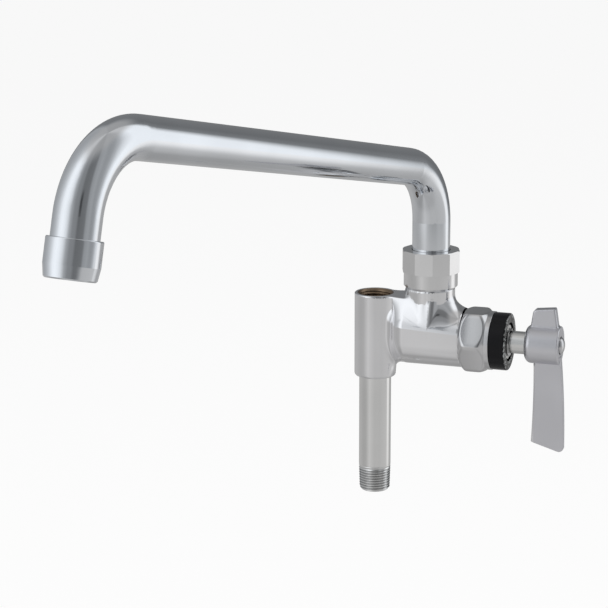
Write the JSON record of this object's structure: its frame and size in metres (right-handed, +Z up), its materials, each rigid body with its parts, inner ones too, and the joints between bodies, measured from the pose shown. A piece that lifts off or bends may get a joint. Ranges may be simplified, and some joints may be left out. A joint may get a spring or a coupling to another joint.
{
  "type": "pre-rinse add-on faucet with swing spout",
  "caption": "Add-on faucet for a pre-rinse unit: nipple inlet, top riser socket, quarter-turn lever valve on a side barrel and a long bent swing spout.",
  "frame": {"origin": "centre of the inlet nipple's lower end", "axes": "+Z up along the nipple and the column, +X out along the valve barrel to the lever"},
  "size_m": [0.1499, 0.3262, 0.2375],
  "materials": {
    "body_chrome": "polished",
    "spout_chrome": "polished",
    "pipe_plating": "polished",
    "nut_plating": "bright plated",
    "lever_satin": "satin",
    "cartridge_plating": "bright plated",
    "raw_brass": "machined",
    "spring_steel": "bright",
    "index_black": "glossy",
    "seal_rubber": "matte",
    "valve_ceramic": "lapped",
    "white_acetal": "moulded"
  },
  "bodies": {
    "base": {"faucet_body": "body_chrome", "inlet_nipple": "pipe_plating", "cartridge_housing": "cartridge_plating", "housing_o_ring": "seal_rubber", "seat_seal": "seal_rubber", "fixed_disc": "valve_ceramic", "bonnet_nut": "nut_plating", "index_ring": "index_black", "spout_nut": "nut_plating", "swivel_washer": "white_acetal"},
    "spout": {"spout_tube": "spout_chrome", "swivel_sleeve": "raw_brass", "spout_o_rings": "seal_rubber", "split_ring": "spring_steel", "outlet_ferrule": "spout_chrome", "flow_regulator": "white_acetal"},
    "lever": {"cartridge_stem": "cartridge_plating", "moving_disc": "valve_ceramic", "friction_washer": "white_acetal", "stem_o_rings": "seal_rubber", "stem_clip": "spring_steel", "lever_handle": "lever_satin", "handle_screw": "spring_steel"}
  },
  "joints": [
    {"name": "spout_swivel", "type": "hinge", "parent": "base", "child": "spout", "pos_m": [0.0302, 0, 0.13], "axis": [0, 0, 1], "continuous": true},
    {"name": "lever_turn", "type": "hinge", "parent": "base", "child": "lever", "pos_m": [0.0722, 0, 0.088], "axis": [1, 0, 0], "range_deg": [0, 90]}
  ]
}
